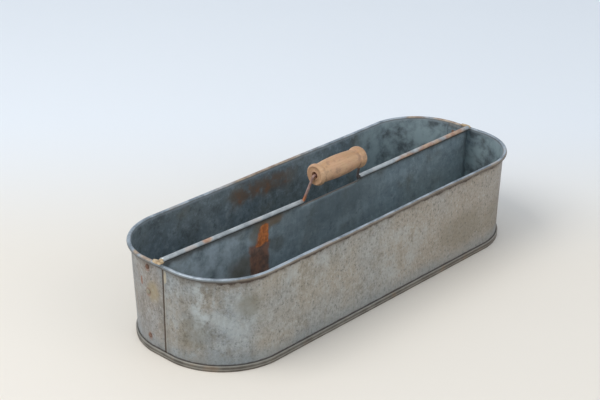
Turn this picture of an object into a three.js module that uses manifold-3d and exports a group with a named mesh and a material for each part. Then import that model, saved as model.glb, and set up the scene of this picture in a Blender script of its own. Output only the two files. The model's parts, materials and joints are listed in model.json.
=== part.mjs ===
// An oblong galvanised carrying pail with a central divider and a wooden-gripped wire handle.
//
// Millimetres, +Z up. The origin is on the floor under the middle of the pail. X runs along the pail,
// from the near end, where the wall's lap seam is, to the far end. The handle leans towards -Y at rest.
//
// The wall is one strip of sheet steel. Its top edge is rolled outwards round the rim wire, and its bottom
// edge is folded out and up, where the base hooks over it in a knocked-up seam. The divider is a second
// sheet with a riveted flange at each end and a rolled hem along its top. The handle wire's two ends lie
// in that hem as in a long hinge, and the hem is cut away between them.

import * as THREE from "three";
import { mergeVertices } from "three/addons/utils/BufferGeometryUtils.js";
import Module from "manifold-3d";

const wasm = await Module();
wasm.setup();

// ---------------------------------------------------------------- driving dimensions

const bodyLength = 596; // over the outside of the wall
const bodyWidth = 208.5;
const bodyHeight = 129.4; // floor to the top of the rolled rim
const cornerRadius = 84; // outside of the wall
const sheet = 0.8; // thickness of the wall, base and divider
const gap = 0.3; // between two pieces that lie against each other

const rimWireDiameter = 3.4;
const rimJointGap = 0.6; // between the two ends of the rolled rim, and of its wire
const seamHeight = 8; // of the folded seam round the base
const lapEdge = 4.5; // the outer layer's edge, in front of the divider
const lapWidth = 38; // how far the inner layer runs back under the outer one
const lapJoggle = 16; // length over which the inner layer steps in

const flangeWidth = 33; // of the divider's riveted ends
const flangeDrop = 3; // below the top of the rim
const hemAxisDrop = 0.4; // the hem's axis below the top of the rim
const hemPlay = 0.7; // between the handle wire and the hem round it
const cutDepth = 6.5; // the bare edge of the divider below the hem's axis
const hemEndSpace = 3; // between the hem's outer end and the middle of the wall

const handleWireDiameter = 3.8;
const handleOffset = 0; // the handle's middle from the pail's middle
const handleSpan = 112; // between the two inner ends of the hem
const handleRise = 38.8; // hem axis to grip axis
const handleBendInside = 1.4; // radius inside the wire's bends
const handleLean = THREE.MathUtils.degToRad(17);
const wireEndSpace = 4; // between the wire's ends and the hem's outer ends

const gripLength = 89;
const gripRadius = 14.6; // at the middle of the barrel
const gripBeadRadius = 14.8;
const gripBeadLength = 10;
const gripGrooveRadius = 12;
const gripGrooveWidth = 1.2;
const gripBorePlay = 0.6; // round the wire
const gripMouthFlare = 2.8; // from the bore to its opened mouth
const gripMouthDepth = 7;

const rivetShankRadius = 1.7;
const rivetHeadRadius = 3.3;
const rivetHeadRise = 1.3;
const rivetUpsetShare = 0.85; // the inner head's radius against the outer one's
const rivetSetback = 24; // from the divider's plane
const rivetHeights = [21, 82, 116];

const cornerSteps = 10; // facets in each rounded corner
const curlSteps = 12; // facets round a rolled edge
const wireSides = 10;
const bendSteps = 5;
const gripSides = 28;
const rivetSides = 14;
const beadSteps = 6;
const barrelSteps = 8;
const domeSteps = 4;

// ---------------------------------------------------------------- derived sizes

const layer = sheet + gap; // from the middle of one sheet to the next one lying on it
const halfLength = bodyLength / 2 - sheet / 2; // these three are of the wall's middle surface
const halfWidth = bodyWidth / 2 - sheet / 2;
const bendRadius = cornerRadius - sheet / 2;
const flatHalf = halfWidth - bendRadius; // half of the flat part of each end
const facetAngle = Math.PI / 2 / cornerSteps;
const facetLength = bendRadius * facetAngle; // of the wall's corner, measured along its arc

const rimCurlRadius = rimWireDiameter / 2 + gap + sheet / 2;
const rimAxisHeight = bodyHeight - rimCurlRadius - sheet / 2;
const hemCurlRadius = handleWireDiameter / 2 + hemPlay + sheet / 2;
const hemAxisHeight = bodyHeight - hemAxisDrop;
const hemAxisY = -hemCurlRadius;
const flangeTop = bodyHeight - flangeDrop;
const sheetBottom = sheet + gap; // lowest edge of the wall and of the divider, just over the base
const nearInset = 2 * layer; // near flange: inside the wall's lap
const farInset = layer; // far flange: straight against the wall
const handleBendRadius = handleBendInside + handleWireDiameter / 2;
const gripBoreRadius = handleWireDiameter / 2 + gripBorePlay;
const spanStart = handleOffset - handleSpan / 2;
const spanEnd = handleOffset + handleSpan / 2;

// ---------------------------------------------------------------- materials

const steel = (color, roughness) => new THREE.MeshStandardMaterial({ color, roughness, metalness: 0.7 });
const zinc = steel(0x85898a, 0.55);
const darkZinc = steel(0x59636a, 0.6);
const rustyWire = steel(0x8a6a58, 0.7);
const rivetSteel = steel(0x77685c, 0.65);
const wood = new THREE.MeshStandardMaterial({ color: 0xd0a77c, roughness: 0.7, metalness: 0 });

// ---------------------------------------------------------------- solids

// A closed geometry as a manifold-3d solid.
function solid(geometry) {
  const bare = geometry.clone();
  bare.deleteAttribute("normal");
  bare.deleteAttribute("uv");
  const merged = mergeVertices(bare, 1e-3);
  return new wasm.Manifold(
    new wasm.Mesh({
      numProp: 3,
      vertProperties: new Float32Array(merged.attributes.position.array),
      triVerts: new Uint32Array(merged.index.array),
    }),
  );
}

// A manifold-3d solid as a geometry.
function geometryOf(made) {
  const { vertProperties, triVerts } = made.getMesh();
  const geometry = new THREE.BufferGeometry();
  geometry.setAttribute("position", new THREE.BufferAttribute(vertProperties, 3));
  geometry.setIndex(new THREE.BufferAttribute(triVerts, 1));
  geometry.computeVertexNormals();
  return geometry;
}

const join = (pieces) => pieces.map(solid).reduce((whole, piece) => whole.add(piece));
const cut = (whole, cutters) => cutters.map(solid).reduce((rest, cutter) => rest.subtract(cutter), whole);

// ---------------------------------------------------------------- sheet and wire

// The outline of a strip of sheet whose middle follows the line, with square mitred bends.
function stripOutline(line, thickness) {
  const sides = [[], []];
  line.forEach((point, i) => {
    const before = i > 0 ? point.clone().sub(line[i - 1]).normalize() : null;
    const after = i < line.length - 1 ? line[i + 1].clone().sub(point).normalize() : null;
    const [a, b] = [before ?? after, after ?? before].map((d) => new THREE.Vector2(-d.y, d.x));
    const mitre = a.clone().add(b).multiplyScalar(thickness / 2 / (1 + a.dot(b)));
    sides[0].push(point.clone().add(mitre));
    sides[1].push(point.clone().sub(mitre));
  });
  return [...sides[0], ...sides[1].reverse()];
}

// A rolled edge: points round a centre from one angle to another.
function curl(centre, radius, fromAngle, toAngle) {
  return Array.from({ length: curlSteps + 1 }, (_, i) => {
    const angle = fromAngle + ((toAngle - fromAngle) * i) / curlSteps;
    return new THREE.Vector2(Math.cos(angle), Math.sin(angle)).multiplyScalar(radius).add(centre);
  });
}

// A wire's round section.
const wireSection = (diameter) =>
  Array.from({ length: wireSides }, (_, i) => {
    const angle = ((i + 0.5) / wireSides) * 2 * Math.PI;
    return new THREE.Vector2(Math.cos(angle), Math.sin(angle)).multiplyScalar(diameter / 2);
  });

// How far past the bottom a curl goes before its free edge would touch its own sheet.
const curlClosing = (radius) => Math.acos(layer / radius - 1);

// A curve given by stations, so that a sweep takes one step per station and straights take one step each.
class StationCurve extends THREE.Curve {
  constructor(stations) {
    super();
    this.stations = stations;
  }
  at(u) {
    return this.stations[Math.round(u * (this.stations.length - 1))];
  }
  getPointAt(u, target = new THREE.Vector3()) {
    return target.copy(this.at(u).point);
  }
  getTangentAt(u, target = new THREE.Vector3()) {
    return target.copy(this.at(u).tangent);
  }
}

const sweep = (shape, path) =>
  new THREE.ExtrudeGeometry(shape, {
    steps: path.stations.length - 1,
    extrudePath: path,
    bevelEnabled: false,
  });

const raise = (shape, bottom, top) =>
  new THREE.ExtrudeGeometry(shape, { depth: top - bottom, bevelEnabled: false }).translate(0, 0, bottom);

// ---------------------------------------------------------------- the oblong

// The corners' facets, clockwise from the middle of the near end as seen from above.
function cornerStations() {
  const corners = [
    { x: -1, y: 1, start: Math.PI },
    { x: 1, y: 1, start: Math.PI / 2 },
    { x: 1, y: -1, start: 0 },
    { x: -1, y: -1, start: -Math.PI / 2 },
  ];
  return corners.flatMap((corner) => {
    const centre = new THREE.Vector3(corner.x * (halfLength - bendRadius), corner.y * flatHalf, 0);
    return Array.from({ length: cornerSteps + 1 }, (_, i) => {
      const angle = corner.start - i * facetAngle;
      const out = new THREE.Vector3(Math.cos(angle), Math.sin(angle), 0);
      return {
        point: centre.clone().addScaledVector(out, bendRadius),
        tangent: new THREE.Vector3(out.y, -out.x, 0),
      };
    });
  });
}

// Clockwise round the wall's middle surface, from the seam back to the seam.
function wallPath() {
  const stations = cornerStations();
  const behindSeam = Math.max(0, Math.ceil((lapEdge - flatHalf) / facetLength));
  const turn = behindSeam > 0 ? (behindSeam - 0.5) * facetAngle : 0;
  const tangent = new THREE.Vector3(-Math.sin(turn), Math.cos(turn), 0);
  const [first, last] = [lapEdge, lapEdge + rimJointGap].map((distance) => {
    const point = besideEnd(-1, -distance, 0);
    return { point: new THREE.Vector3(point.x, point.y, 0), tangent };
  });
  return new StationCurve([first, ...stations.splice(stations.length - behindSeam), ...stations, last]);
}

// A section drawn as (outwards from the wall's middle, up), as the sweep along wallPath takes it.
const sectionShape = (points) => new THREE.Shape(points.map((p) => new THREE.Vector2(-p.y, p.x)));

// The oblong's outline, moved outwards from the wall's middle surface.
const oblong = (outwards) =>
  cornerStations().map(
    ({ point, tangent }) =>
      new THREE.Vector2(point.x - tangent.y * outwards, point.y + tangent.x * outwards),
  );

// A ring of sheet that follows the oblong, between two distances from the wall's middle surface.
function oblongRing(inner, outer) {
  const shape = new THREE.Shape(oblong(outer));
  shape.holes.push(new THREE.Path(oblong(inner).reverse()));
  return shape;
}

// The distance of a facet's corner from the middle of the end, measured round the wall.
const endCorners = (k) => flatHalf + k * facetLength;

// A point inside the end wall, at a distance from the middle of that end measured round the wall. Past the
// flat part it lies on facets parallel to the wall's own, so that what follows the wall keeps its gap to it.
function besideEnd(end, distance, inset) {
  const facets = (Math.abs(distance) - flatHalf) / facetLength;
  if (facets <= 0) return new THREE.Vector2(end * (halfLength - inset), distance);
  const radius = bendRadius - inset;
  const vertex = (k) =>
    new THREE.Vector2(
      end * (halfLength - bendRadius + radius * Math.cos(k * facetAngle)),
      Math.sign(distance) * (flatHalf + radius * Math.sin(k * facetAngle)),
    );
  const whole = Math.floor(facets);
  return vertex(whole).lerp(vertex(whole + 1), facets - whole);
}

// Points beside an end wall from one distance to another, with the facets' corners between them.
function lineBesideEnd(end, from, to, inset) {
  const corners = Array.from({ length: cornerSteps + 1 }, (_, k) => endCorners(k));
  const between = [...corners.map((distance) => -distance).reverse(), ...corners];
  const distances = [from, ...between.filter((distance) => distance > from && distance < to), to];
  return distances.map((distance) => besideEnd(end, distance, inset));
}

// ---------------------------------------------------------------- wall, rim wire and base

// Where a rivet crosses the wall's middle surface, with its head all on one flat or facet of the wall, and
// the turn about Z that points it out of the pail.
function rivetPlace(end) {
  const facet = Math.max(-1, Math.floor((rivetSetback - flatHalf) / facetLength)); // -1 on the flat part
  const [start, stop] = facet < 0 ? [-flatHalf, flatHalf] : [0, 1].map((i) => endCorners(facet + i));
  const distance = THREE.MathUtils.clamp(rivetSetback, start + rivetHeadRadius, stop - rivetHeadRadius);
  const turn = facet < 0 ? 0 : (facet + 0.5) * facetAngle;
  return { point: besideEnd(end, distance, 0), turn: end > 0 ? turn : Math.PI - turn };
}

// Cutters for one end's rivet holes, through everything from outside the wall to inside the flange.
function rivetHoles(end, inset) {
  const { point, turn } = rivetPlace(end);
  const length = inset + 4 * sheet;
  return rivetHeights.map((z) =>
    new THREE.CylinderGeometry(rivetShankRadius + gap, rivetShankRadius + gap, length, rivetSides)
      .rotateZ(Math.PI / 2)
      .translate(2 * sheet - length / 2, 0, 0)
      .rotateZ(turn)
      .translate(point.x, point.y, z),
  );
}

function wall() {
  const rimAxis = new THREE.Vector2(rimCurlRadius, rimAxisHeight);
  const foldTop = seamHeight - sheet - gap;
  const line = [
    new THREE.Vector2(2 * layer, foldTop),
    new THREE.Vector2(2 * layer, sheetBottom + sheet / 2),
    new THREE.Vector2(0, sheetBottom + sheet / 2),
    ...curl(rimAxis, rimCurlRadius, Math.PI, -curlClosing(rimCurlRadius)),
  ];
  const body = sweep(sectionShape(stripOutline(line, sheet)), wallPath());

  // The inner layer of the lap: it leaves the wall in front of the seam, steps in and runs back behind it.
  const lapEnd = lapWidth - lapEdge;
  const stepEnd = -lapEdge - rimJointGap - sheet;
  const lapLine = [
    besideEnd(-1, stepEnd - lapJoggle, sheet / 3),
    ...lineBesideEnd(-1, stepEnd, lapEnd, layer),
  ];
  const lap = raise(new THREE.Shape(stripOutline(lapLine, sheet)), sheetBottom, rimAxisHeight - sheet);
  return cut(join([body, lap]), [...rivetHoles(-1, nearInset), ...rivetHoles(1, farInset)]);
}

function rimWire() {
  const rimAxis = new THREE.Vector2(rimCurlRadius, rimAxisHeight);
  const section = wireSection(rimWireDiameter).map((point) => point.add(rimAxis));
  return sweep(sectionShape(section), wallPath());
}

function base() {
  const outer = 3 * layer;
  const half = sheet / 2;
  return join([
    raise(new THREE.Shape(oblong(outer + half)), 0, sheet),
    raise(oblongRing(outer - half, outer + half), 0, seamHeight),
    raise(oblongRing(layer - half, outer + half), seamHeight - sheet, seamHeight),
    raise(oblongRing(layer - half, layer + half), sheetBottom + sheet + gap, seamHeight),
  ]);
}

// ---------------------------------------------------------------- divider

// One stretch of the rolled hem, which stands on the divider's sheet.
function hem(from, to) {
  const axis = new THREE.Vector2(hemAxisY, hemAxisHeight);
  const line = [
    new THREE.Vector2(0, flangeTop - sheet),
    ...curl(axis, hemCurlRadius, 0, Math.PI + curlClosing(hemCurlRadius)),
  ];
  const [x, y, z] = [0, 1, 2].map((i) => new THREE.Vector3().setComponent(i, 1));
  return new THREE.ExtrudeGeometry(new THREE.Shape(stripOutline(line, sheet)), {
    depth: to - from,
    bevelEnabled: false,
  })
    .applyMatrix4(new THREE.Matrix4().makeBasis(y, z, x))
    .translate(from, 0, 0);
}

function divider() {
  const line = [
    ...lineBesideEnd(-1, 0, flangeWidth, nearInset).reverse(),
    ...lineBesideEnd(1, 0, flangeWidth, farInset),
  ];
  const panel = raise(new THREE.Shape(stripOutline(line, sheet)), sheetBottom, flangeTop);
  const cutBottom = hemAxisHeight - cutDepth;
  const cutHeight = 2 * (flangeTop - cutBottom);
  const gapCutter = new THREE.BoxGeometry(handleSpan, 4 * sheet, cutHeight).translate(
    handleOffset,
    0,
    cutBottom + cutHeight / 2,
  );
  const hemEnd = halfLength - hemEndSpace;
  const open = cut(solid(panel), [gapCutter, ...rivetHoles(-1, nearInset), ...rivetHoles(1, farInset)]);
  return open.add(solid(hem(-hemEnd, spanStart))).add(solid(hem(spanEnd, hemEnd)));
}

// ---------------------------------------------------------------- handle

// Stations along a line in the XZ plane whose inner corners are rounded.
function bentWirePath(corners, radius) {
  const stations = [];
  corners.forEach((corner, i) => {
    const point = new THREE.Vector3(corner[0], 0, corner[1]);
    const towards = (other) => new THREE.Vector3(other[0], 0, other[1]).sub(point).normalize();
    if (i === 0) return stations.push({ point, tangent: towards(corners[1]) });
    const back = towards(corners[i - 1]);
    if (i === corners.length - 1) return stations.push({ point, tangent: back.negate() });
    const ahead = towards(corners[i + 1]);
    const half = back.angleTo(ahead) / 2;
    const centre = back.clone().add(ahead).normalize().multiplyScalar(radius / Math.sin(half)).add(point);
    const spoke = back.clone().multiplyScalar(radius / Math.tan(half)).add(point).sub(centre);
    const turn = Math.PI - 2 * half;
    const axis = new THREE.Vector3().crossVectors(back.clone().negate(), ahead).normalize();
    for (let k = 0; k <= bendSteps; k++) {
      const angle = (turn * k) / bendSteps;
      stations.push({
        point: spoke.clone().applyAxisAngle(axis, angle).add(centre),
        tangent: back.clone().negate().applyAxisAngle(axis, angle),
      });
    }
  });
  return new StationCurve(stations);
}

// The wire lies in the hem along X, rises at each end of the cut and crosses through the grip.
function handleWire() {
  const reach = halfLength - hemEndSpace - wireEndSpace;
  const foot = handleSpan / 2 - handleBendRadius;
  const shoulder = gripLength / 2 + handleBendRadius / 2;
  const corners = [
    [-reach - handleOffset, 0],
    [-foot, 0],
    [-shoulder, handleRise],
    [shoulder, handleRise],
    [foot, 0],
    [reach - handleOffset, 0],
  ];
  const section = new THREE.Shape(wireSection(handleWireDiameter));
  return sweep(section, bentWirePath(corners, handleBendRadius));
}

// Turned on a lathe: a barrel between two beads, bored through, with both mouths opened out.
function grip() {
  const half = gripLength / 2;
  // A swelling whose radius falls off as a parabola from its middle to its ends.
  const swelling = (middle, halfWidth, crown, steps) =>
    Array.from({ length: steps + 1 }, (_, i) => {
      const share = (2 * i) / steps - 1;
      return [crown - (crown - gripGrooveRadius) * share * share, middle + halfWidth * share];
    });
  const beadMiddle = half - gripBeadLength / 2;
  const barrelHalf = half - gripBeadLength - gripGrooveWidth;
  const profile = [
    [gripBoreRadius, -half + gripMouthDepth],
    [gripBoreRadius + gripMouthFlare, -half],
    ...swelling(-beadMiddle, gripBeadLength / 2, gripBeadRadius, beadSteps),
    ...swelling(0, barrelHalf, gripRadius, barrelSteps),
    ...swelling(beadMiddle, gripBeadLength / 2, gripBeadRadius, beadSteps),
    [gripBoreRadius + gripMouthFlare, half],
    [gripBoreRadius, half - gripMouthDepth],
    [gripBoreRadius, -half + gripMouthDepth],
  ];
  return new THREE.LatheGeometry(
    profile.map(([radius, along]) => new THREE.Vector2(radius, along)),
    gripSides,
  ).rotateZ(-Math.PI / 2);
}

// ---------------------------------------------------------------- rivets

// A domed head outside the wall and an upset head inside the flange. It lies along X, with the wall's
// middle surface at 0.
function rivet(inset) {
  const outside = sheet / 2 + gap;
  const inside = -inset - sheet / 2 - gap;
  const dome = Array.from({ length: domeSteps + 1 }, (_, i) => {
    const angle = (i / domeSteps) * (Math.PI / 2);
    return [rivetHeadRadius * Math.cos(angle), outside + rivetHeadRise * Math.sin(angle)];
  });
  dome[domeSteps][0] = 0;
  const upset = rivetHeadRadius * rivetUpsetShare;
  const profile = [
    [0, inside - rivetHeadRise],
    [upset - rivetHeadRise / 2, inside - rivetHeadRise],
    [upset, inside - rivetHeadRise / 2],
    [upset, inside],
    [rivetShankRadius, inside],
    [rivetShankRadius, outside],
    ...dome,
  ];
  return new THREE.LatheGeometry(
    profile.map(([radius, along]) => new THREE.Vector2(radius, along)),
    rivetSides,
  ).rotateZ(-Math.PI / 2);
}

// ---------------------------------------------------------------- assembly

function named(name, geometry, material) {
  const mesh = new THREE.Mesh(geometry, material);
  mesh.name = name;
  return mesh;
}

const pail = new THREE.Group();
pail.add(named("wall", geometryOf(wall()), zinc));
pail.add(named("base", geometryOf(base()), zinc));
pail.add(named("divider", geometryOf(divider()), darkZinc));

const rimWireMesh = named("rim_wire", rimWire(), zinc);
rimWireMesh.rotation.z = Math.PI; // its joint is at the far end, away from the wall's seam
pail.add(rimWireMesh);

for (const [place, end, inset] of [
  ["near", -1, nearInset],
  ["far", 1, farInset],
]) {
  const { point, turn } = rivetPlace(end);
  rivetHeights.forEach((z, i) => {
    const mesh = named(`${place}_rivet_${["lower", "middle", "upper"][i]}`, rivet(inset), rivetSteel);
    mesh.position.set(point.x, point.y, z);
    mesh.rotation.z = turn;
    pail.add(mesh);
  });
}

const handle = new THREE.Group();
handle.position.set(handleOffset, hemAxisY, hemAxisHeight);
handle.rotation.x = handleLean;
handle.add(named("handle_wire", handleWire(), rustyWire));
const gripMesh = named("handle_grip", grip(), wood);
gripMesh.position.z = handleRise;
handle.add(gripMesh);
pail.add(handle);

export default pail;
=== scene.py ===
# %% [markdown]
# # A divided carrying pail in galvanised sheet
# The real pail is tinsmith's work: one strip of galvanised sheet bent into an oblong, its top edge rolled
# over a wire, its foot folded into the base, and a riveted divider whose rolled hem holds the handle wire.
# The sizes and the moving bodies already exist as a frame of plain solids. This lesson draws each piece
# again with the roundness, dents and finishes that the frame leaves out, and hangs it on the same bodies.

# %% Load the frame
import json
import math

import bmesh
import bpy
from mathutils import Matrix, Vector, noise


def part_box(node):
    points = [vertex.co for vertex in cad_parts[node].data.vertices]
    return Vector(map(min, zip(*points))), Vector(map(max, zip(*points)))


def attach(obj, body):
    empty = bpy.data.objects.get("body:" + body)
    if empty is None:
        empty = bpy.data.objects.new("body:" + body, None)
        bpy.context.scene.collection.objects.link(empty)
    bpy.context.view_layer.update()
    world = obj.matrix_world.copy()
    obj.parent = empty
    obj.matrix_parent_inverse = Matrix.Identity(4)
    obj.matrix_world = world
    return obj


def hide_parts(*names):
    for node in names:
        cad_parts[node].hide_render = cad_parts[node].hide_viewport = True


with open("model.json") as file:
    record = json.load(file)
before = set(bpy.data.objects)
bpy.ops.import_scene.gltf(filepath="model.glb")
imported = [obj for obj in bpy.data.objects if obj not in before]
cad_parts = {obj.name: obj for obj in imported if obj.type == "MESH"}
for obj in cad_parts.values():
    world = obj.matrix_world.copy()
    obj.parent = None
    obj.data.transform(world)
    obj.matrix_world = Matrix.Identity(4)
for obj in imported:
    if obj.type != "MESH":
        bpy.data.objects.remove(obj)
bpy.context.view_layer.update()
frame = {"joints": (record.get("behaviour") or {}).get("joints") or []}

# %% [markdown]
# ## Sizes
# Everything follows from the gauge of the sheet and from the solids' own boxes. The base hooks over the
# wall's foot in a folded seam, so its outside is three layers out from the middle of the wall's sheet. In
# the frame the layers keep a gap, but here they are hammered tight. The hinge of the handle is the axis of
# the divider's hem, and the joints of the frame say where that is.

# %% Read the sizes off the frame
MM = 0.001
gauge = 0.8 * MM
gap = 0.3 * MM
layer = gauge + gap
bend_radius = 83.6 * MM
lap_edge = 4.5 * MM
rim_joint = 0.6 * MM
seam_pitch = 0.88 * MM

base_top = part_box("base")[1]
half_length = base_top.x - 3 * layer - gauge / 2
half_width = base_top.y - 3 * layer - gauge / 2
flat_half = half_width - bend_radius
straight_half = half_length - bend_radius
seam_top = base_top.z

rim_low, rim_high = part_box("rim_wire")
rim_wire_radius = (rim_high.z - rim_low.z) / 2
rim_axis_z = (rim_high.z + rim_low.z) / 2
rim_curl_radius = rim_wire_radius + gap + gauge / 2

joint_places = {joint["name"]: Vector(joint["pos_m"]) for joint in frame["joints"]}
hem_axis = joint_places["handle_swing"]
grip_axis = joint_places["grip_spin"]
handle_rise = (grip_axis - hem_axis).length
handle_lean = math.atan2(hem_axis.y - grip_axis.y, grip_axis.z - hem_axis.z)
hem_curl_radius = -hem_axis.y
print("wall", 2 * half_length, 2 * half_width, "rim axis", rim_axis_z, "lean", math.degrees(handle_lean))

# %% [markdown]
# ## Camera, floor and light
# The pail is seen from above its near left corner through a long lens, so that its sides hardly taper. It
# stands on a plain pale floor that curves up into a pale backdrop, as a studio sweep does. A large soft
# lamp over the left shoulder and an even sky light the zinc gently. A thin sheet of metal shows its form
# by what it reflects, so the surroundings stay simple.

# %% Set the camera
camera_place = Vector((-1.3241, -1.1982, 0.9408))
camera_yaw = 0.8137
camera_pitch = 0.4347
camera_roll = 0.0029
lens_mm = 88.97

camera = bpy.data.objects.new("camera", bpy.data.cameras.new("camera"))
bpy.context.scene.collection.objects.link(camera)
camera.data.lens = lens_mm
camera.data.sensor_width = 36
camera.data.clip_end = 50
look = Vector(
    (
        math.sin(camera_yaw) * math.cos(camera_pitch),
        math.cos(camera_yaw) * math.cos(camera_pitch),
        -math.sin(camera_pitch),
    )
)
camera.matrix_world = (
    Matrix.Translation(camera_place)
    @ look.to_track_quat("-Z", "Y").to_matrix().to_4x4()
    @ Matrix.Rotation(camera_roll, 4, "Z")
)
bpy.context.scene.camera = camera
bpy.context.scene.view_settings.view_transform = "Standard"
print("camera looks along", [round(v, 3) for v in look])


# %% A node helper for every finish
def paint(red, green, blue):
    """A colour as a painter mixes it, 0 to 255 on screen, in the linear numbers that shaders use."""
    screen = [value / 255 for value in (red, green, blue)]
    return [v / 12.92 if v <= 0.04045 else ((v + 0.055) / 1.055) ** 2.4 for v in screen] + [1.0]


class Finish:
    """A material under way. Each method adds one small step and gives back its output."""

    def __init__(self, name):
        self.material = bpy.data.materials.new(name)
        self.material.use_nodes = True
        self.nodes = self.material.node_tree.nodes
        self.links = self.material.node_tree.links
        self.shader = self.nodes["Principled BSDF"]
        self.place = self.nodes.new("ShaderNodeTexCoord").outputs["Object"]

    def feed(self, socket, value):
        if isinstance(value, bpy.types.NodeSocket):
            self.links.new(value, socket)
        else:
            socket.default_value = value

    def node(self, kind, inputs, **settings):
        made = self.nodes.new("ShaderNode" + kind)
        for key, value in settings.items():
            setattr(made, key, value)
        for key, value in inputs.items():
            self.feed(made.inputs[key], value)
        return made

    def calc(self, operation, a, b=0.0):
        return self.node("Math", {0: a, 1: b}, operation=operation).outputs[0]

    def vector(self, operation, a, b=(0, 0, 0)):
        return self.node("VectorMath", {0: a, 1: b}, operation=operation)

    def noise(self, scale, detail=3.0, stretch=(1, 1, 1), roughness=0.55):
        place = self.vector("MULTIPLY", self.place, stretch).outputs[0]
        inputs = {"Vector": place, "Scale": scale, "Detail": detail, "Roughness": roughness}
        return self.node("TexNoise", inputs).outputs["Fac"]

    def mask(self, value, low, high):
        """0 where the value is at low, 1 where it is at high, with a soft step between."""
        inputs = {"Value": value, "From Min": low, "From Max": high}
        return self.node("MapRange", inputs, interpolation_type="SMOOTHSTEP").outputs[0]

    def axis(self, index):
        return self.node("SeparateXYZ", {0: self.place}).outputs[index]

    def facing_up(self):
        """1 on a face that looks at the sky, -1 on one that looks at the floor."""
        normal = self.node("NewGeometry", {}).outputs["Normal"]
        return self.node("SeparateXYZ", {0: normal}).outputs[2]

    def band(self, value, low, high, soft):
        """1 between two values, 0 outside them."""
        return self.both(self.mask(value, low - soft, low + soft), self.mask(value, high + soft, high - soft))

    def shaken(self, value, scale, amount, detail=5.0):
        """The value pushed to and fro by noise, so that what follows it gets a ragged edge."""
        swing = self.calc("SUBTRACT", self.noise(scale, detail), 0.5)
        return self.calc("ADD", value, self.calc("MULTIPLY", swing, amount))

    def tint(self, colour, mask, share, over):
        """Lay a colour over what is there, where the mask says and by a share."""
        return self.mix(self.calc("MULTIPLY", mask, share), colour, over)

    def patch(self, centre, size, ragged, scale, soft=0.35):
        """A stain with a ragged edge: 1 in the middle of an ellipsoid, 0 outside it."""
        offset = self.vector("SUBTRACT", self.place, centre).outputs[0]
        shares = self.vector("DIVIDE", offset, size).outputs[0]
        distance = self.vector("LENGTH", shares).outputs["Value"]
        torn = self.calc("MULTIPLY_ADD", self.noise(scale, 5), ragged)
        torn.node.inputs[2].default_value = -ragged / 2
        return self.mask(self.calc("ADD", distance, torn), 1 + soft / 2, 1 - soft / 2)

    def mix(self, factor, a, b):
        made = self.node("Mix", {0: factor, 6: a, 7: b}, data_type="RGBA")
        return made.outputs[2]

    def both(self, a, b):
        return self.calc("MULTIPLY", a, b)

    def either(self, a, b):
        return self.calc("MAXIMUM", a, b)

    def finish(self, colour, roughness, metallic, height, bump=0.1, distance=0.0005):
        self.feed(self.shader.inputs["Base Color"], colour)
        self.feed(self.shader.inputs["Roughness"], roughness)
        self.feed(self.shader.inputs["Metallic"], metallic)
        relief = self.node("Bump", {"Height": height, "Strength": bump, "Distance": distance})
        self.feed(self.shader.inputs["Normal"], relief.outputs[0])
        return self.material


# %% Floor, backdrop and lamps
def stage_sweep():
    """One sheet for the floor and the backdrop, bent where they meet."""
    along = camera_yaw
    back = Vector((math.sin(along), math.cos(along), 0))
    side = Vector((math.cos(along), -math.sin(along), 0))
    turn_start, turn_radius, half_breadth, front, top = 2.7, 0.4, 6.0, -6.0, 5.0
    profile = [(front, 0.0)]
    for step in range(17):
        angle = step / 16 * math.pi / 2
        run = turn_start + turn_radius * math.sin(angle)
        profile.append((run, turn_radius * (1 - math.cos(angle))))
    profile.append((turn_start + turn_radius, top))
    mesh = bpy.data.meshes.new("floor")
    points = [back * run + side * s * half_breadth + Vector((0, 0, z)) for run, z in profile for s in (-1, 1)]
    faces = [(2 * i, 2 * i + 1, 2 * i + 3, 2 * i + 2) for i in range(len(profile) - 1)]
    mesh.from_pydata(points, [], faces)
    mesh.shade_smooth()
    floor = bpy.data.objects.new("floor", mesh)
    bpy.context.scene.collection.objects.link(floor)
    return floor


floor = stage_sweep()
pale = Finish("pale_sweep")
away = (math.sin(camera_yaw), math.cos(camera_yaw), 0)
depth = pale.vector("DOT_PRODUCT", pale.place, away).outputs["Value"]
fade = pale.mask(depth, 0.0, 0.6)
speck = pale.noise(60, 4)
pale.finish(pale.mix(fade, paint(233, 226, 215), paint(234, 238, 242)), 0.75, 0.0, speck, 0.02)
floor.data.materials.append(pale.material)

world = bpy.data.worlds.new("sky")
world.use_nodes = True
sky_strength = 0.75
world.node_tree.nodes["Background"].inputs["Color"].default_value = paint(232, 240, 250)
world.node_tree.nodes["Background"].inputs["Strength"].default_value = sky_strength
bpy.context.scene.world = world


def soft_lamp(name, place, aim, breadth, watts, colour):
    lamp = bpy.data.objects.new(name, bpy.data.lights.new(name, "AREA"))
    bpy.context.scene.collection.objects.link(lamp)
    lamp.data.size = breadth
    lamp.data.energy = watts
    lamp.data.color = colour
    lamp.location = place
    lamp.rotation_euler = (Vector(aim) - Vector(place)).to_track_quat("-Z", "Y").to_euler()
    return lamp


soft_lamp("window", (-1.6, 0.6, 2.4), (0, 0, 0.1), 1.8, 42, (1.0, 0.98, 0.95))
soft_lamp("fill", (0.3, -2.6, 1.6), (0, 0, 0.1), 2.0, 14, (1.0, 0.96, 0.9))
print("floor points", len(floor.data.vertices))

# %% [markdown]
# ## Sheet metal as a surface with a gauge
# A folded sheet has the same thickness everywhere, and its shape is the path of its middle surface. So each
# sheet is drawn as a grid of points with no thickness, and the Solidify modifier gives it its gauge. A
# section drawn once, as distances outwards and up, is carried round the oblong like the strip through the
# tinsmith's rollers.


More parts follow.
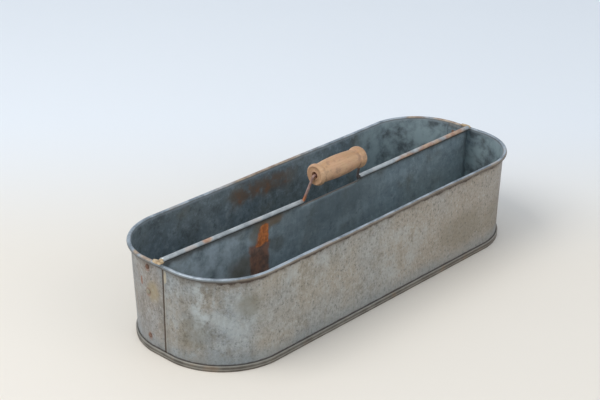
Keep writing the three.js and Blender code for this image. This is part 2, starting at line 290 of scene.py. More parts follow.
# %% Walk round the oblong
def stations(step=7 * MM, corner_steps=24):
    """(point, outward direction) clockwise round the middle of the wall, from the lap seam back to it."""
    made = []

    def flat(start, stop, outward):
        start, stop = Vector((*start, 0)), Vector((*stop, 0))
        count = max(1, round((stop - start).length / step))
        for i in range(count + 1):
            made.append((start.lerp(stop, i / count), Vector((*outward, 0))))

    def corner(x, y, start):
        centre = Vector((x * straight_half, y * flat_half, 0))
        for i in range(1, corner_steps):
            angle = start - i / corner_steps * math.pi / 2
            outward = Vector((math.cos(angle), math.sin(angle), 0))
            made.append((centre + bend_radius * outward, outward))

    flat((-half_length, -lap_edge), (-half_length, flat_half), (-1, 0))
    corner(-1, 1, math.pi)
    flat((-straight_half, half_width), (straight_half, half_width), (0, 1))
    corner(1, 1, math.pi / 2)
    flat((half_length, flat_half), (half_length, -flat_half), (1, 0))
    corner(1, -1, 0)
    flat((straight_half, -half_width), (-straight_half, -half_width), (0, -1))
    corner(-1, -1, -math.pi / 2)
    flat((-half_length, -flat_half), (-half_length, -lap_edge - rim_joint), (-1, 0))
    return made


round_the_wall = stations()
print("stations round the wall", len(round_the_wall))


# %% The hand of the maker
def clamp(value, low=0.0, high=1.0):
    return min(high, max(low, value))


dents = [
    (Vector((-half_length, 13 * MM, 82 * MM)), 12 * MM, 0.9 * MM),
    (Vector((-250 * MM, -half_width, 60 * MM)), 22 * MM, 0.8 * MM),
    (Vector((-40 * MM, -half_width, 88 * MM)), 30 * MM, 0.7 * MM),
    (Vector((150 * MM, -half_width, 45 * MM)), 26 * MM, 0.8 * MM),
    (Vector((90 * MM, half_width, 70 * MM)), 28 * MM, 0.9 * MM),
]
wander = 0.9 * MM
foot_corner_radius = 90 * MM
rim_corner_radius = 79 * MM


def corner_spread(outward, height):
    """The corners are bent tighter at the rim than at the foot, so they flare out a little on the way up."""
    radius = foot_corner_radius + (rim_corner_radius - foot_corner_radius) * clamp(height / rim_axis_z)
    return (bend_radius - radius) * (abs(outward.x) + abs(outward.y) - 1)


def stray(point, outward, height):
    """How far outwards the hand-bent sheet lies from its drawing. It is stiff at the divider and the foot."""
    away = clamp((abs(point.y) - 25 * MM) / (50 * MM))
    rise = clamp((height - seam_top) / (rim_axis_z - seam_top))
    belly = math.sin(math.pi * rise) * noise.noise(Vector((point.x * 7, point.y * 7, height * 12)))
    at_rim = rise**2 * noise.noise(Vector((point.x * 5, point.y * 5, 9.5)))
    out = away * wander * (belly + at_rim) + corner_spread(outward, height)
    for centre, size, depth in dents:
        near = (Vector((point.x, point.y, height)) - centre).length / size
        out -= depth * clamp(1 - near * near) ** 2
    return out


def rim_wave(point):
    """How far the rim rises or falls along its length."""
    return clamp((abs(point.y) - 25 * MM) / (50 * MM)) * 0.8 * MM * noise.noise(point * 6 + Vector((0, 0, 3)))


# %% Points beside the end walls
def end_turn(distance):
    """How far the end wall has turned at a distance from its middle, measured round the wall."""
    return math.copysign(max(0, abs(distance) - flat_half) / bend_radius, distance)


def end_outward(end, distance):
    turn = end_turn(distance)
    return Vector((end * math.cos(turn), math.sin(turn), 0))


def beside_end(end, distance, inset):
    """A point inside an end wall, at a distance from the end's middle measured round the wall."""
    outward = end_outward(end, distance)
    centre = Vector((end * straight_half, clamp(distance, -flat_half, flat_half), 0))
    return centre + (bend_radius - inset) * outward


def upright_points(plan, heights):
    """Points of a sheet that stands beside an end wall and follows it as it strays."""
    return [
        point + outward * stray(point, outward, z) + Vector((0, 0, z))
        for point, outward in plan
        for z in heights
    ]


corner_flare = corner_spread(Vector((1, 1, 0)).normalized(), rim_axis_z)
print("a corner flares at the rim by", round(corner_flare / MM, 2), "mm")


# %% Sheets, bars and lathe work
def add_object(name, points, faces, smooth=True):
    mesh = bpy.data.meshes.new(name)
    mesh.from_pydata(points, [], faces)
    mesh.validate()
    if smooth:
        mesh.shade_smooth()
    piece = bpy.data.objects.new(name, mesh)
    bpy.context.scene.collection.objects.link(piece)
    return piece


def grid_faces(columns, rows, closed=False):
    """Faces of a grid whose points are listed column by column."""
    last = columns if closed else columns - 1
    return [
        (c * rows + r, c * rows + r + 1, (c + 1) % columns * rows + r + 1, (c + 1) % columns * rows + r)
        for c in range(last)
        for r in range(rows - 1)
    ]


def tidy_mesh(piece):
    """Weld points that coincide and drop points that no face uses."""
    work = bmesh.new()
    work.from_mesh(piece.data)
    bmesh.ops.remove_doubles(work, verts=work.verts, dist=0.01 * MM)
    bmesh.ops.delete(work, geom=[v for v in work.verts if not v.link_faces], context="VERTS")
    work.to_mesh(piece.data)
    work.free()


def give_gauge(piece, inside_slot=0, even=True):
    """Solidify the surface to the sheet's gauge, half on each side."""
    solid = piece.modifiers.new("gauge", "SOLIDIFY")
    solid.thickness = gauge
    solid.offset = 0
    solid.use_even_offset = even
    solid.use_quality_normals = even
    solid.material_offset = inside_slot
    return piece


def arc(centre, radius, start, stop, count):
    """Points on an arc, the first one left out."""
    return [
        (centre[0] + radius * math.cos(a), centre[1] + radius * math.sin(a))
        for a in (start + (stop - start) * i / count for i in range(1, count + 1))
    ]


def curl_closing(radius):
    """How far a curl goes past the bottom before its free edge would touch its own sheet."""
    return math.acos(layer / radius - 1)


# %% [markdown]
# ## The wall
# One strip goes all the way round and laps itself at the near end, in front of the divider. Its top edge is
# rolled outwards round the rim wire. Its foot is folded out and up again, so that the base can hook over it.
# The section below is that strip seen from its end: up from the hook, round the foot, up the wall, and
# round the wire. Faces of the roll get their own finish, because hands and shelves rub it bright.

# %% Draw the wall's section and sweep it
fold_radius = 0.7 * MM
hook_top = seam_top - gauge - gap
foot_z = gauge + gap + gauge / 2
wall_rows = 24

hook_out = 2 * seam_pitch
wall_section = [(hook_out, hook_top)]
wall_section += [(hook_out, foot_z + fold_radius)]
wall_section += arc((hook_out - fold_radius, foot_z + fold_radius), fold_radius, 0, -math.pi / 2, 4)
wall_section += [(fold_radius, foot_z)]
wall_section += arc((fold_radius, foot_z + fold_radius), fold_radius, -math.pi / 2, -math.pi, 4)
rise_start = wall_section[-1][1]
wall_section += [
    (0, rise_start + (rim_axis_z - rise_start) * i / wall_rows) for i in range(1, wall_rows + 1)
]
roll_starts = len(wall_section) - 1
wall_section += arc(
    (rim_curl_radius, rim_axis_z), rim_curl_radius, math.pi, -curl_closing(rim_curl_radius), 26
)


def place_on_wall(station, outwards, height):
    point, outward = station
    share = clamp(height / rim_axis_z)
    moved = point + outward * (outwards + stray(point, outward, height))
    return moved + Vector((0, 0, height + share * rim_wave(point)))


def sweep_round(name, section, closed=False):
    path = round_the_wall[:-1] if closed else round_the_wall
    points = [place_on_wall(station, *corner) for station in path for corner in section]
    return add_object(name, points, grid_faces(len(path), len(section), closed))


wall = give_gauge(sweep_round("wall_sheet", wall_section), inside_slot=1)
roll_faces = [face for face in wall.data.polygons if face.index % (len(wall_section) - 1) >= roll_starts]
for face in roll_faces:
    face.material_index = 2
print("wall", len(wall.data.polygons), "faces, of which rolled", len(roll_faces))

# %% [markdown]
# ## The lap behind the seam
# Under the outer edge the strip steps in by its own thickness and runs on behind it. The rivets go through
# both layers. It is the same sheet, drawn here as a second surface that starts within the first.


# %% Draw the lap
lap_start = -lap_edge - rim_joint - gauge
lap_end = 33.5 * MM
lap_step = 16 * MM
lap_marks = [(lap_start - lap_step, gauge / 4)]
lap_marks += [(lap_start + (lap_end - lap_start) * i / 14, layer) for i in range(15)]
lap_plan = [(beside_end(-1, mark, inset), end_outward(-1, mark)) for mark, inset in lap_marks]
lap_bottom, lap_top = gauge + gap, rim_axis_z - gauge
lap_heights = [lap_bottom + (lap_top - lap_bottom) * i / 20 for i in range(21)]
lap_grid = grid_faces(len(lap_plan), len(lap_heights))
lap = add_object("wall_lap", upright_points(lap_plan, lap_heights), lap_grid)
give_gauge(lap, inside_slot=1)
print("lap", len(lap.data.polygons), "faces")

# %% [markdown]
# ## The base and its seam
# The base is a flat plate whose edge goes up outside the wall's hook, over it, and down behind it. A closing
# tool leaves the outer band a little wavy, with a crease along it. Its middle surface starts in the seam,
# goes over the hook, down the outside and then inwards under the pail, in rings, as far as the line below
# the divider, where the front half meets the back half.

# %% Draw the base
band_out = 3 * seam_pitch
top_fold = seam_top - gauge / 2
base_section = [(seam_pitch, 2 * layer + gap), (seam_pitch, top_fold - fold_radius)]
base_section += arc((seam_pitch + fold_radius, top_fold - fold_radius), fold_radius, math.pi, math.pi / 2, 4)
base_section += [(band_out - fold_radius, top_fold)]
base_section += arc((band_out - fold_radius, top_fold - fold_radius), fold_radius, math.pi / 2, 0, 4)
crease_depth, crease_place, crease_spread = 0.3 * MM, 0.42, 0.2
band_height = top_fold - gauge - 2 * fold_radius
for i in range(1, 13):
    drop = i / 12
    crease = crease_depth * clamp(1 - abs(drop - crease_place) / crease_spread)
    base_section.append((band_out - crease, top_fold - fold_radius - band_height * drop))
base_section += arc((band_out - fold_radius, gauge / 2 + fold_radius), fold_radius, 0, -math.pi / 2, 4)
plate_rings = [0, -6 * MM, -18 * MM, -34 * MM, -50 * MM, -66 * MM]
base_section += [(ring, gauge / 2) for ring in plate_rings]


def draw_base():
    path = round_the_wall[:-1]
    points = []
    for point, outward in path:
        tool_mark = 0.12 * MM * noise.noise(point * 90)
        for outwards, height in base_section:
            on_band = clamp(outwards / band_out)
            reach = outwards + tool_mark * on_band + corner_spread(outward, height)
            points.append(point + outward * reach + Vector((0, 0, height)))
        points.append(Vector((clamp(point.x, -straight_half, straight_half), 0, gauge / 2)))
    made = add_object("base_pan", points, grid_faces(len(path), len(base_section) + 1, closed=True))
    tidy_mesh(made)
    return made


base = give_gauge(draw_base(), inside_slot=1, even=False)
print("base", len(base.data.polygons), "faces")

# %% [markdown]
# ## The divider
# The divider is a second sheet down the middle. Each end turns through a right angle towards the back and
# is riveted to the wall. The top is rolled forward round the handle wire, in two stretches, and between them
# the roll is cut away so that the handle can swing. The cut is simply where the surface has no faces.

# %% Draw the divider
cut_half = 56 * MM
handle_middle = hem_axis.x
cut_z = hem_axis.z - 6.5 * MM
hem_ends = {-1: half_length + 1 * MM, 1: half_length - 3 * MM}
hem_rise = {-1: 4.6 * MM, 1: 0.6 * MM}
flange_top = rim_axis_z + rim_curl_radius + gauge / 2 - 3 * MM
sheet_bottom = gauge + gap
flange_width = 33 * MM
turn_radius = 1.6 * MM
insets = {-1: 2 * layer, 1: layer}
panel_levels = [sheet_bottom + (cut_z - sheet_bottom) * i / 20 for i in range(21)] + [flange_top]
panel_ends = {end: half_length - insets[end] - turn_radius for end in (-1, 1)}


def hem_lift(x):
    """The hem climbs from the cut to its ends, most at the near end, where it was pressed over the roll."""
    end = math.copysign(1, x)
    share = clamp((abs(x) - cut_half) / (hem_ends[end] - cut_half))
    return hem_rise[end] * share


def panel_and_hem():
    """The panel with its hem, as grid points and faces. Columns stand exactly on the edges of the cut."""
    cut_start, cut_stop = handle_middle - cut_half, handle_middle + cut_half
    marks = [-hem_ends[-1], -panel_ends[-1], cut_start, cut_stop, panel_ends[1], hem_ends[1]]
    columns = []
    for a, b in zip(marks, marks[1:]):
        count = math.ceil((b - a) / (7 * MM))
        columns += [a + (b - a) * i / count for i in range(count)]
    columns.append(hem_ends[1])
    section = [(0, z) for z in panel_levels + [hem_axis.z]]
    section += arc(
        (hem_axis.y, hem_axis.z), hem_curl_radius, 0, math.pi + curl_closing(hem_curl_radius), 24
    )
    points = []
    for x in columns:
        ripple = 0.5 * MM * noise.noise(Vector((x * 9, 4.2, 0))) * clamp((panel_ends[1] - abs(x)) / (60 * MM))
        for y, z in section:
            share = clamp((z - sheet_bottom) / (cut_z - sheet_bottom))
            points.append(Vector((x, y + ripple * math.sin(math.pi * share), z + hem_lift(x) * share**8)))
    last_level = len(panel_levels) - 2
    faces = []
    for face in grid_faces(len(columns), len(section)):
        column, row = divmod(face[0], len(section))
        middle = (columns[column] + columns[column + 1]) / 2
        over_cut = cut_start < middle < cut_stop and row >= last_level
        past_end = row <= last_level and not -panel_ends[-1] < middle < panel_ends[1]
        if not over_cut and not past_end:
            faces.append(face)
    return points, faces


def flange_points(end):
    """The flange, from where the panel stops, round the turn, to its free edge against the wall."""
    inset = insets[end]
    centre_x = half_length - inset - turn_radius
    turn = [(centre_x, 0)] + arc((centre_x, turn_radius), turn_radius, -math.pi / 2, 0, 6)
    points = []
    for i, (x, y) in enumerate(turn):
        lift = hem_lift(end * panel_ends[end]) * (1 - i / len(turn))
        for z in panel_levels:
            share = clamp((z - sheet_bottom) / (cut_z - sheet_bottom))
            points.append(Vector((end * x, y, z + lift * share**8)))
    marks = [turn_radius + (flange_width - turn_radius) * i / 10 for i in range(1, 11)]
    plan = [(beside_end(end, mark, inset), end_outward(end, mark)) for mark in marks]
    return points + upright_points(plan, panel_levels)


def draw_divider():
    points, faces = panel_and_hem()
    for end in (-1, 1):
        flange = flange_points(end)
        grid = grid_faces(len(flange) // len(panel_levels), len(panel_levels))
        first = len(points)
        points += flange
        faces += [tuple(first + i for i in (face if end > 0 else reversed(face))) for face in grid]
    made = add_object("divider_sheet", points, faces)
    tidy_mesh(made)
    for face in made.data.polygons:
        height = face.center.z - hem_lift(face.center.x)
        if height > flange_top and abs(face.center.y) < 3 * hem_curl_radius:
            face.material_index = 1
    return give_gauge(made)


divider = draw_divider()
print("divider", len(divider.data.polygons), "faces")

# %% [markdown]
# ## The handle wire and the rim wire
# Both are plain round bars. The handle wire's ends lie in the hem, which is its hinge, so they stay dead
# straight. Then it rises at each side of the cut, leans in a little, and crosses through the grip. It is
# drawn in its own plane and then leaned over about the hem's axis, as it stands at rest. Out of sight in the
# hem, its near tail is drawn shorter than in the frame, because the hem climbs there and the wire doesn't.


# %% Draw a round bar along a line
def round_bar(name, line, normal, radius, sides=20):
    """A bar along a flat line. The normal is square to the line's plane."""
    points = []
    for i, point in enumerate(line):
        ahead = line[min(i + 1, len(line) - 1)] - line[max(i - 1, 0)]
        side = ahead.normalized().cross(normal)
        for k in range(sides):
            angle = 2 * math.pi * k / sides
            points.append(point + radius * (math.cos(angle) * normal + math.sin(angle) * side))
    faces = [
        (i * sides + k, i * sides + (k + 1) % sides, (i + 1) * sides + (k + 1) % sides, (i + 1) * sides + k)
        for i in range(len(line) - 1)
        for k in range(sides)
    ]
    faces.append(tuple(reversed(range(sides))))
    faces.append(tuple((len(line) - 1) * sides + k for k in range(sides)))
    return add_object(name, points, faces)


def rounded_line(corners, radius, steps=8):
    """A line in the XZ plane whose inner corners are arcs."""
    line = [corners[0]]
    for before, corner, after in zip(corners, corners[1:], corners[2:]):
        back, ahead = (before - corner).normalized(), (after - corner).normalized()
        half = back.angle(ahead) / 2
        centre = corner + (back + ahead).normalized() * radius / math.sin(half)
        spoke = corner + back * radius / math.tan(half) - centre
        turn = math.pi - 2 * half
        axis = (-back).cross(ahead).normalized()
        line += [centre + Matrix.Rotation(turn * i / steps, 3, axis) @ spoke for i in range(steps + 1)]
    return line + [corners[-1]]


def subdivided(line, step):
    """The same line with points added so that no stretch is longer than the step."""
    finer = [line[0]]
    for a, b in zip(line, line[1:]):
        count = max(1, math.ceil((b - a).length / step))
        finer += [a.lerp(b, i / count) for i in range(1, count + 1)]
    return finer


# %% Draw the handle wire and the rim wire
handle_wire_radius = 1.8 * MM
bend_inside = 1.4 * MM
wire_bend = bend_inside + handle_wire_radius
grip_half = (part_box("handle_grip")[1].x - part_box("handle_grip")[0].x) / 2
foot = cut_half - wire_bend
shoulder = grip_half + wire_bend / 2
wire_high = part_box("handle_wire")[1]

near_tail = cut_half + 36 * MM
corners = [
    (-near_tail, 0),
    (-foot, 0),
    (-shoulder, handle_rise),
    (shoulder, handle_rise),
    (foot, 0),
    (wire_high.x - handle_middle, 0),
]
leaning = Matrix.Translation(hem_axis) @ Matrix.Rotation(handle_lean, 4, "X")
wire_line = rounded_line([Vector((x, 0, z)) for x, z in corners], wire_bend)
wire_line = [leaning @ point for point in subdivided(wire_line, 6 * MM)]
wire_normal = leaning.to_3x3() @ Vector((0, 1, 0))
handle_wire = round_bar("handle_bail", wire_line, wire_normal, handle_wire_radius)

rim_line = [
    place_on_wall((point, outward), rim_curl_radius, rim_axis_z) for point, outward in round_the_wall
]
rim_wire = round_bar("rim_core", rim_line, Vector((0, 0, 1)), rim_wire_radius, 12)
print("wire", len(wire_line), "stations; rim", len(rim_line))

# %% [markdown]
# ## The grip
# A pail grip is turned between centres from a dry hardwood billet: a barrel that fills the palm, a groove
# and a bead at each end, and a bore that a hot or blunt tool has opened at its mouths. Lathe work is a
# profile spun round its axis. A little unevenness in the radius keeps it from looking moulded.

# %% Turn the grip
grip_radius = 14.6 * MM
bead_radius = 14.8 * MM
left_bead, right_bead = 8.4 * MM, 12 * MM
groove_radius = 12.7 * MM
groove_width = 1.2 * MM
bore_radius = handle_wire_radius + 0.6 * MM
mouth_flare = 2.8 * MM
mouth_depth = 7 * MM
dish_depth = 0.9 * MM


def grip_profile():
    """(along, radius) from the left mouth's bottom, over the outside, to the right mouth's bottom."""
    barrel_left = -grip_half + left_bead + groove_width
    barrel_right = grip_half - right_bead - groove_width

    def swelling(middle, half, crown, power, count):
        for i in range(count + 1):
            share = 2 * i / count - 1
            yield middle + half * share, crown - (crown - groove_radius) * abs(share) ** power

    shares = [i / 8 for i in range(9)]
    mouth = [(mouth_depth * (1 - share), bore_radius + mouth_flare * share**1.5) for share in shares]
    left = [(-grip_half + depth, radius) for depth, radius in mouth]
    mouth_radius = bore_radius + mouth_flare
    dish_radius = groove_radius - 0.6 * MM
    for i in range(1, 9):
        share = i / 8
        dish = dish_depth * math.sin(math.pi * min(1, share * 1.02)) ** 0.5
        left.append((-grip_half + dish, mouth_radius + (dish_radius - mouth_radius) * share))
    barrel_middle, barrel_half = (barrel_left + barrel_right) / 2, (barrel_right - barrel_left) / 2
    outside = list(swelling(-grip_half + left_bead / 2, left_bead / 2, bead_radius, 2.4, 14))
    outside += list(swelling(barrel_middle, barrel_half, grip_radius, 2.0, 40))
    outside += list(swelling(grip_half - right_bead / 2, right_bead / 2, bead_radius, 2.4, 14))
    right = [(-along, radius) for along, radius in reversed(left)]
    return left + outside + right


def lathe(name, profile, sides, centre, axis, wobble=0.0, closed=False):
    """Spin (along, radius) points round an axis through the centre."""
    turn = Vector((1, 0, 0)).rotation_difference(axis).to_matrix()
    points = []
    for k in range(sides):
        angle = 2 * math.pi * k / sides
        spoke = Vector((0, math.cos(angle), math.sin(angle)))
        for along, radius in profile:
            seat = Vector((along * 25, math.cos(angle) * 0.9, math.sin(angle) * 0.9))
            uneven = wobble * noise.noise(seat)
            points.append(centre + turn @ (spoke * max(radius + uneven, 0) + Vector((along, 0, 0))))
    rows = len(profile)
    faces = []
    for k in range(sides):
        for r in range(rows if closed else rows - 1):
            a, b = k * rows + r, k * rows + (r + 1) % rows
            c, d = ((k + 1) % sides) * rows + (r + 1) % rows, ((k + 1) % sides) * rows + r
            faces.append((a, d, c, b))
    made = add_object(name, points, faces)
    tidy_mesh(made)
    return made


grip = lathe("handle_grip_turned", grip_profile(), 96, grip_axis, Vector((1, 0, 0)), 0.25 * MM, closed=True)
print("grip", len(grip.data.polygons), "faces")

# %% [markdown]
# ## Rivets
# Three rivets at each end hold the divider to the wall. The head was set from outside, and the shank was
# hammered over a washerless hole inside. Each is spun like the grip and then knocked a little out of true.

# %% Draw the rivets
head_radius = 3.3 * MM
head_rise = 1.3 * MM
shank_radius = 1.7 * MM


def rivet_profile(inset):
    outside = gauge / 2 + gap / 2
    inside = -inset - gauge / 2 - gap / 2
    upset = head_radius * 0.85
    turns = [i / 8 * math.pi / 2 for i in range(8)]
    dome = [(outside + head_rise * math.sin(turn), head_radius * math.cos(turn)) for turn in turns]
    return [
        (inside - head_rise * 0.8, 0),
        (inside - head_rise * 0.8, upset * 0.5),
        (inside - head_rise * 0.6, upset * 0.85),
        (inside - head_rise * 0.2, upset),
        (inside, upset * 0.98),
        (inside, shank_radius),
        (outside, shank_radius),
        *dome,
        (outside + head_rise, 0),
    ]


rivets = {}
for end, side in ((-1, "near"), (1, "far")):
    for level in ("lower", "middle", "upper"):
        node = f"{side}_rivet_{level}"
        low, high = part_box(node)
        across, height = (low.y + high.y) / 2, (low.z + high.z) / 2
        distance = flat_half + bend_radius * math.asin((across - flat_half) / bend_radius)
        outward = end_outward(end, distance)
        centre = beside_end(end, distance, 0) + Vector((0, 0, height))
        centre += outward * stray(centre, outward, height)
        piece = lathe(f"{node}_set", rivet_profile(insets[end]), 28, centre, outward, 0.12 * MM)
        rivets[node] = piece
print("rivets", sorted(rivets))

# %% [markdown]
# ## Solder where the hem meets the rim
# A tinsmith runs a little solder into the corner where the end of the hem meets the roll, so that no edge
# catches the hand. It has dulled to tan. It lies over both like a flattened tab, with a dab that closes the
# open end of the hem. Each is a fine ball, pressed flat, pushed about by noise and sunk into the metal.


# %% Draw the solder
def solder_lump(name, centre, size, seed):
    mesh = bpy.data.meshes.new(name)
    work = bmesh.new()
    bmesh.ops.create_icosphere(work, subdivisions=5, radius=1.0)
    for vertex in work.verts:
        push = 1 + 0.3 * noise.noise(vertex.co * 1.6 + Vector((seed, 0, 0)))
        vertex.co = Vector(vertex.co[i] * size[i] * push for i in range(3)) + Vector(centre)
    work.to_mesh(mesh)
    work.free()
    mesh.shade_smooth()
    piece = bpy.data.objects.new(name, mesh)
    bpy.context.scene.collection.objects.link(piece)
    return piece


tab_size = (3.8 * MM, 8 * MM, 1.7 * MM)
tab_middle = (half_length + 1.4 * MM, 3.5 * MM, rim_axis_z + rim_curl_radius + 0.8 * MM)
dab_size = {-1: (2.6 * MM, 3.6 * MM, 3.2 * MM), 1: (2.2 * MM, 3.2 * MM, 2.4 * MM)}
solder = {}
for end, side in ((-1, "near"), (1, "far")):
    place = (end * tab_middle[0], tab_middle[1], tab_middle[2])
    solder[f"{side}_tab"] = solder_lump(f"solder_tab_{side}", place, tab_size, end)
    place = (end * (hem_ends[end] - 0.6 * MM), hem_axis.y, hem_axis.z + hem_rise[end] - 0.3 * MM)
    solder[f"{side}_dab"] = solder_lump(f"solder_dab_{side}", place, dab_size[end], end + 4)
print("solder", sorted(solder))

# %% [markdown]
# ## Weathered zinc
# New galvanised sheet is bright and spangled. After years out of doors the zinc carbonate turns it to a dull
# blue grey, in blotches, with a crackled grain left from the spangle. Brown film settles where water stands:
# under the roll and round the rivets. Just under the roll the darkest line is partly painted shadow and partly
# grime, and the dark line where the wall meets the seam band is painted shade. The finish is built like that,
# from the broad clouds down to the grain, and rust goes on last, only where the metal would really rust.


# %% The outside of the wall
def zinc_ground(f, cool, warm, pale, smudge, share, streaks):
    """Clouds as wide as a hand, blotches as wide as a thumb, and water streaks, over two greys."""
    cloud = f.mask(f.noise(10, 4), 0.38, 0.62)
    blotch = f.noise(36, 6, roughness=0.62)
    streak = f.noise(1, 5, (95, 95, 16), 0.62)
    thumb = f.noise(95, 5, roughness=0.7)
    colour = f.mix(cloud, cool, warm)
    colour = f.tint(colour, f.mask(blotch, 0.5, 0.66), share, pale)
    colour = f.tint(colour, f.mask(blotch, 0.47, 0.32), share, smudge)
    colour = f.tint(colour, f.mask(thumb, 0.52, 0.68), share, pale)
    colour = f.tint(colour, f.mask(thumb, 0.46, 0.32), share, smudge)
    colour = f.tint(colour, f.mask(streak, 0.53, 0.68), streaks, pale)
    return f.tint(colour, f.mask(streak, 0.46, 0.33), streaks, smudge), blotch


def crackle(f, colour, scale, light, dark, share):
    """The grain of the old spangle: small light and dark flakes."""
    flake = f.noise(scale, 4, (1, 1, 0.8), 0.8)
    colour = f.tint(colour, f.mask(flake, 0.53, 0.7), share * 0.7, light)
    return f.tint(colour, f.mask(flake, 0.48, 0.33), share, dark), flake


def wall_outside():
    f = Finish("zinc_outside")
    x, y, z = (f.axis(i) for i in range(3))
    colour, blotch = zinc_ground(
        f, paint(139, 146, 150), paint(152, 146, 136), paint(170, 176, 178), paint(108, 104, 93), 0.55, 0.35
    )
    far_side = f.mask(f.shaken(x, 9, 0.25), -0.12, 0.3)
    colour = f.tint(colour, far_side, 0.55, paint(147, 131, 118))
    # Painted light: the front face of the wall is painted lighter.
    front_painted_light = f.mask(y, -0.094, -0.103)
    colour = f.tint(colour, front_painted_light, 0.4, paint(172, 164, 150))
    seam_side = f.both(f.mask(x, -0.27, -0.295), f.mask(y, -0.01, 0.01))
    colour = f.tint(colour, seam_side, 0.35, paint(152, 143, 138))
    colour, flake = crackle(f, colour, 300, paint(190, 193, 192), paint(84, 84, 82), 0.7)

    for centre, size, share in (
        ((-0.288, -0.058, 0.086), (0.016, 0.009, 0.04), 0.8),
        ((-0.262, -0.09, 0.075), (0.034, 0.03, 0.034), 0.35),
        ((-0.155, -0.104, 0.1), (0.04, 0.03, 0.02), 0.3),
        ((0.02, -0.104, 0.062), (0.05, 0.03, 0.03), 0.25),
    ):
        torn = f.both(f.patch(centre, size, 1.0, 50, 0.9), f.mask(blotch, 0.4, 0.56))
        colour = f.tint(colour, torn, share, paint(184, 193, 196))
    for centre, size, share in (
        ((-0.246, -0.104, 0.088), (0.017, 0.03, 0.016), 0.5),
        ((-0.292, -0.048, 0.05), (0.02, 0.02, 0.022), 0.35),
        ((0.16, -0.104, 0.05), (0.05, 0.03, 0.026), 0.35),
        ((0.24, -0.104, 0.04), (0.03, 0.03, 0.03), 0.3),
        ((-0.06, 0.104, 0.07), (0.05, 0.03, 0.03), 0.35),
    ):
        colour = f.tint(colour, f.patch(centre, size, 1.0, 50, 0.9), share, paint(108, 101, 80))

    low_zone = f.mask(f.shaken(z, 50, 0.016), 0.03, 0.012)
    colour = f.tint(colour, low_zone, 0.4, paint(134, 142, 146))
    front = f.mask(y, -0.06, -0.1)
    ragged_height = f.shaken(z, 70, 0.016)
    under_roll = f.mask(ragged_height, rim_axis_z - 12 * MM, rim_axis_z - 3 * MM)
    colour = f.tint(colour, under_roll, 0.5, paint(96, 86, 72))
    # Painted shadow with grime: a dark line just under the roll on the front, where the roll shades the wall.
    roll_shadow_and_grime_line = f.mask(f.shaken(z, 110, 0.01), rim_axis_z - 7.5 * MM, rim_axis_z - 5 * MM)
    colour = f.tint(colour, f.both(under_roll, front), 0.35, paint(88, 70, 54))
    colour = f.tint(colour, f.both(roll_shadow_and_grime_line, f.mask(y, -0.04, -0.09)), 0.9, paint(62, 48, 38))
    # Painted shade: a dark line in the crease where the wall meets the seam band.
    seam_crease_shade = f.mask(f.shaken(z, 120, 0.003), seam_top + 2.2 * MM, seam_top + 0.4 * MM)
    colour = f.tint(colour, seam_crease_shade, 0.8, paint(66, 56, 48))

    on_end = f.mask(x, -0.28, -0.29)
    ragged_y = f.shaken(y, 90, 0.0012, 2)
    # At the lap's outer edge, a brown dark line is partly painted shadow of the step and partly dirt, and just
    # in front of it a light line is a painted highlight.
    lap_gap_shadow_and_dirt = f.both(f.band(ragged_y, -lap_edge - 0.5 * MM, -lap_edge + 2 * MM, 0.5 * MM), on_end)
    lap_edge_highlight = f.both(f.band(y, -lap_edge - 2.2 * MM, -lap_edge - 0.8 * MM, 0.4 * MM), on_end)
    colour = f.tint(colour, lap_edge_highlight, 0.45, paint(190, 186, 174))
    colour = f.tint(colour, lap_gap_shadow_and_dirt, 0.85, paint(76, 60, 46))
    drip = f.patch((-half_length, -lap_edge - 3 * MM, 112 * MM), (0.006, 0.0025, 0.008), 0.8, 160)
    colour = f.tint(colour, drip, 0.7, paint(196, 184, 158))

    ring = f.patch((-half_length, 15 * MM, 84 * MM), (0.012, 0.009, 0.013), 0.8, 110, 1.0)
    colour = f.tint(colour, ring, 0.55, paint(164, 148, 112))
    rust = f.patch((-0.296, 37 * MM, 93 * MM), (0.006, 0.002, 0.006), 0.8, 160)
    for name, piece in rivets.items():
        middle = sum((vertex.co for vertex in piece.data.vertices), Vector()) / len(piece.data.vertices)
        middle.x = half_length * (1 if name.startswith("far") else -1)
        stain = f.patch(tuple(middle - Vector((0, 0, 1 * MM))), (0.008, 0.0044, 0.0056), 0.9, 220, 0.6)
        rust = f.either(rust, f.calc("MULTIPLY", stain, 0.5))
    specks = f.both(f.mask(f.noise(150, 3), 0.7, 0.76), f.mask(f.noise(15, 3), 0.5, 0.62))
    rust = f.either(rust, f.calc("MULTIPLY", specks, 0.6))
    colour = f.tint(colour, rust, 0.8, paint(134, 84, 58))

    # The grime, rust and painted shade masks together make the metal duller.
    film_and_shade = f.either(under_roll, f.either(rust, seam_crease_shade))
    roughness = f.calc("ADD", f.calc("MULTIPLY", blotch, 0.12), 0.52)
    metal = f.calc("SUBTRACT", 0.35, f.calc("MULTIPLY", film_and_shade, 0.32))
    return f.finish(colour, roughness, metal, f.calc("ADD", f.calc("MULTIPLY", flake, 0.6), blotch), 0.25)


# %% [markdown]
# ## Inside the pail
# The inside wall is painted darker than the outside: painted shade, for inside the pail the same sheet lies in
# shade. It is bluer too, with soft clouds and long streaks. Two places have rusted: a brown cloud high on the
# back wall, and on the divider a leak below the hem, where fresh orange rust runs down and spreads out dark
# brown.


# %% The inside of the wall and the base
def inner_zinc(f, cool, warm, pale, smudge):
    colour, blotch = zinc_ground(f, cool, warm, pale, smudge, 0.6, 0.12)
    colour, flake = crackle(f, colour, 240, pale, smudge, 0.4)
    olive = f.both(f.mask(f.noise(20, 4), 0.54, 0.68), 0.35)
    return f.mix(olive, colour, paint(112, 108, 92)), blotch, flake


